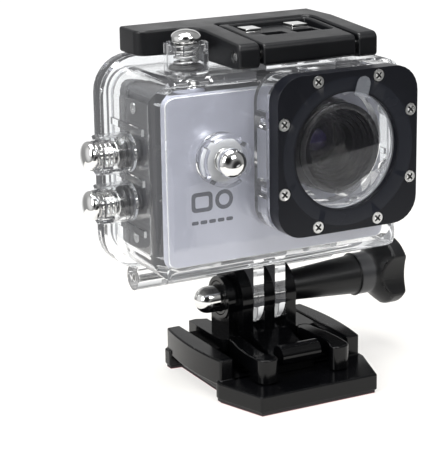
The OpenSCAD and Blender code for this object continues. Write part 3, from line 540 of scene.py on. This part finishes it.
def printed(bm, outer, inner=None):
    """A thin raised shape on the camera's front, with a hole if there is an inner outline."""
    loops = [[bm.verts.new(Vector((x, y, z)) * MM) for x, z in pts]
             for pts in ([outer, inner] if inner else [outer]) for y in (CAM_Y0 - 0.03, CAM_Y0 + 0.03)]
    strips = [(loops[0], loops[1])]
    if inner:
        strips += [(loops[2], loops[3]), (loops[0], loops[2]), (loops[1], loops[3])]
    else:
        bm.faces.new(loops[0])
        bm.faces.new(loops[1])
    for a, b in strips:
        for i in range(len(a)):
            j = (i + 1) % len(a)
            bm.faces.new((a[i], a[j], b[j], b[i]))


MARK_X0, MARK_Z0, MARK_Z1 = -24.2, 46.6, 51.4
RING_X0, RING_R = -17.9, 2.35
LINE = 1.0
DASH_PITCH, DASH_LEN, DASH_Z0, DASH_H = 2.3, 1.8, 43.6, 0.9

mark = bmesh.new()
for x0, width, r_outer, r_inner in ((MARK_X0, 5.6, 1.1, 0.5), (RING_X0, 4.8, RING_R, RING_R - LINE)):
    printed(mark, rounded(x0, x0 + width, MARK_Z0, MARK_Z1, r_outer),
            rounded(x0 + LINE, x0 + width - LINE, MARK_Z0 + LINE, MARK_Z1 - LINE, r_inner))
for k in range(5):
    x0 = MARK_X0 + DASH_PITCH * k
    printed(mark, rounded(x0, x0 + DASH_LEN, DASH_Z0, DASH_Z0 + DASH_H, 0.35))
add_piece("panel_mark", finish_mesh(mark, "panel_mark"), M["print"], "housing")

# ---- Lens: barrel with stepped baffles, trim ring and glass ----
barrel = [(7.0, 5.5), (7.0, 7.0), (1.4, 7.0), (1.4, 12.5), (-0.88, 12.5), (-0.88, 11.0),
          (BARREL_Y0 + 0.3, 11.0), (BARREL_Y0, 10.7), (BARREL_Y0, 9.55), (BARREL_Y0 + 1.3, 9.55)]
for start, end, r0, r1 in ((1.35, 2.1, 8.9, 8.7), (2.15, 3.0, 7.9, 7.7), (3.05, 3.9, 6.9, 6.7),
                           (3.95, 5.0, 5.9, 5.6)):
    barrel += [(BARREL_Y0 + start, r0), (BARREL_Y0 + end, r1)]
barrel += [(1.0, 5.5), (7.0, 5.5)]
lathe("barrel_body", [barrel], LENS_AT, "y", M["barrel"], "housing", ("lens_barrel",), 96)

trim = [(-0.02, 9.6), (-0.35, 9.6), (-0.45, 9.75), (-0.45, 10.75), (-0.3, 10.95), (-0.02, 10.95),
        (-0.02, 9.6)]
lathe("barrel_trim", [[(BARREL_Y0 + w, r) for w, r in trim]], LENS_AT, "y", M["ring"], "housing",
      ("lens_trim_ring",), 96)

lathe("front_element", [lens_profile(BARREL_Y0 + 1.0, 9.45, 1.3, BARREL_Y0 + 1.25)], LENS_AT, "y",
      M["element"], "housing", ("lens_front_glass",), 96)
rear_disc = [(3.0, 0.0), (3.0, 5.4), (1.2, 5.4), (1.2, 0.0)]
lathe("inner_element", [lens_profile(-3.6, 5.3, 2.4, -2.2), rear_disc], LENS_AT, "y",
      M["element"], "housing", ("rear_element",), 64)
lathe("lens_pupil", [lens_profile(0.2, 2.3, 1.0, 0.8)], LENS_AT, "y", M["pupil"], "housing",
      (), 48)

# ---- Floor ----
floor_mesh = bpy.data.meshes.new("floor")
floor_mesh.from_pydata([(-0.16, -0.12, 0), (0.2, -0.12, 0), (0.2, 0.12, 0), (-0.16, 0.12, 0)], [],
                       [(0, 1, 2, 3)])
floor = bpy.data.objects.new("floor", floor_mesh)
bpy.context.scene.collection.objects.link(floor)
floor_mat = solid("floor_white", (0.36, 0.35, 0.33), (0.37, 0.36, 0.34), (0.7, 0.8), spec=0.1)
floor_glow = floor_mat.node_tree.nodes["Principled BSDF"]
floor_glow.inputs["Emission Color"].default_value = (1.0, 0.99, 0.975, 1)
floor_glow.inputs["Emission Strength"].default_value = 0.66
floor_mesh.materials.append(floor_mat)

# ---- World: soft light that differs from side to side, seen as white by the camera ----
world = bpy.data.worlds.new("studio")
bpy.context.scene.world = world
world.use_nodes = True
wt = world.node_tree
wt.nodes.clear()
w_out = wt.nodes.new("ShaderNodeOutputWorld")
w_coord = wt.nodes.new("ShaderNodeTexCoord")

EVEN_LIGHT = 0.32
# Direction, inner and outer angle in degrees, and strength. A negative strength makes a dark patch.
LOBES = (
    ((0.42, 0.84, -0.36), 26, 52, 0.72),
    ((-0.2, 0.55, 0.8), 20, 60, 0.15),
    ((-0.95, 0.1, 0.15), 12, 40, 0.5),
    ((-0.444, -0.855, 0.3), 10, 34, -0.3),
    ((0.5, 0.8, 0.4), 12, 30, -0.15),
    ((0.444, -0.855, -0.269), 14, 36, -0.29),
)


def lobe(direction, inner, outer, strength, total):
    """Adds light from one side: full within the inner angle, none beyond the outer one."""
    dot = wt.nodes.new("ShaderNodeVectorMath")
    dot.operation = "DOT_PRODUCT"
    dot.inputs[1].default_value = Vector(direction).normalized()
    wt.links.new(w_coord.outputs["Generated"], dot.inputs[0])
    m = wt.nodes.new("ShaderNodeMapRange")
    m.interpolation_type = "SMOOTHSTEP"
    m.inputs["From Min"].default_value = math.cos(math.radians(outer))
    m.inputs["From Max"].default_value = math.cos(math.radians(inner))
    m.inputs["To Min"].default_value = 0.0
    m.inputs["To Max"].default_value = strength
    wt.links.new(dot.outputs["Value"], m.inputs["Value"])
    add = wt.nodes.new("ShaderNodeMath")
    add.operation = "ADD"
    if total is None:
        add.inputs[1].default_value = EVEN_LIGHT
    else:
        wt.links.new(total, add.inputs[1])
    wt.links.new(m.outputs["Result"], add.inputs[0])
    return add.outputs[0]


light = None
for direction, inner, outer, strength in LOBES:
    light = lobe(direction, inner, outer, strength, light)
lit = wt.nodes.new("ShaderNodeBackground")
lit.inputs["Strength"].default_value = 1.0
wt.links.new(light, lit.inputs["Color"])
seen = wt.nodes.new("ShaderNodeBackground")
seen.inputs["Color"].default_value = (1, 1, 1, 1)
seen.inputs["Strength"].default_value = 1.1
w_path = wt.nodes.new("ShaderNodeLightPath")
w_mix = wt.nodes.new("ShaderNodeMixShader")
wt.links.new(w_path.outputs["Is Camera Ray"], w_mix.inputs["Fac"])
wt.links.new(lit.outputs[0], w_mix.inputs[1])
wt.links.new(seen.outputs[0], w_mix.inputs[2])
wt.links.new(w_mix.outputs[0], w_out.inputs["Surface"])


# ---- Lamps, placed in metres ----
def lamp(name, place, turn, size, power):
    data = bpy.data.lights.new(name, "AREA")
    data.shape = "RECTANGLE"
    data.size, data.size_y = size
    data.energy = power
    obj = bpy.data.objects.new(name, data)
    obj.matrix_world = Matrix.Translation(place) @ turn.to_4x4()
    bpy.context.scene.collection.objects.link(obj)


def towards(aim, place):
    """Turns a lamp at place to shine on aim."""
    return (Vector(aim) - Vector(place)).to_track_quat("-Z", "Y").to_matrix()


for name, place, aim, size, power in (
        ("top_box", (-0.05, 0.0, 0.7), (0, 0, 0), (0.5, 0.5), 5.5),
        ("left_box", (-0.62, -0.25, 0.4), (0, 0, 0.05), (0.3, 0.5), 3.2),
        ("front_box", (0.15, -0.75, 0.55), (0, 0, 0.05), (0.4, 0.3), 2.2)):
    lamp(name, place, towards(aim, place), size, power)

# A small card in front, low down: its reflection is the pale band across the lens window
CARD_TILT = math.radians(7.458)
card_turn = Matrix.Rotation(-CARD_TILT, 3, "Y") @ Matrix.Rotation(math.pi / 2, 3, "X")
lamp("low_card", (0.2149, -0.33, -0.0596), card_turn, (0.15, 0.06), 0.021)

# ---- Camera ----
AZIMUTH, ELEVATION, ROLL = map(math.radians, (-27.46, 15.6, -0.92))
CAMERA_AT = (-0.20208, -0.35544, 0.15376)
back = Vector((math.sin(AZIMUTH) * math.cos(ELEVATION), -math.cos(AZIMUTH) * math.cos(ELEVATION),
               math.sin(ELEVATION)))
right = Vector((math.cos(AZIMUTH), math.sin(AZIMUTH), 0))
up = back.cross(right)
side = right * math.cos(ROLL) + up * math.sin(ROLL)
rise = up * math.cos(ROLL) - right * math.sin(ROLL)
cam_data = bpy.data.cameras.new("view")
cam_data.lens = 138.4
cam_data.sensor_width = 36
cam_data.clip_start = 0.01
cam = bpy.data.objects.new("view", cam_data)
cam.matrix_world = Matrix.Translation(CAMERA_AT) @ Matrix((side, rise, back)).transposed().to_4x4()
bpy.context.scene.collection.objects.link(cam)
bpy.context.scene.camera = cam
bpy.context.scene.view_settings.view_transform = "Standard"
bpy.context.scene.view_settings.look = "None"
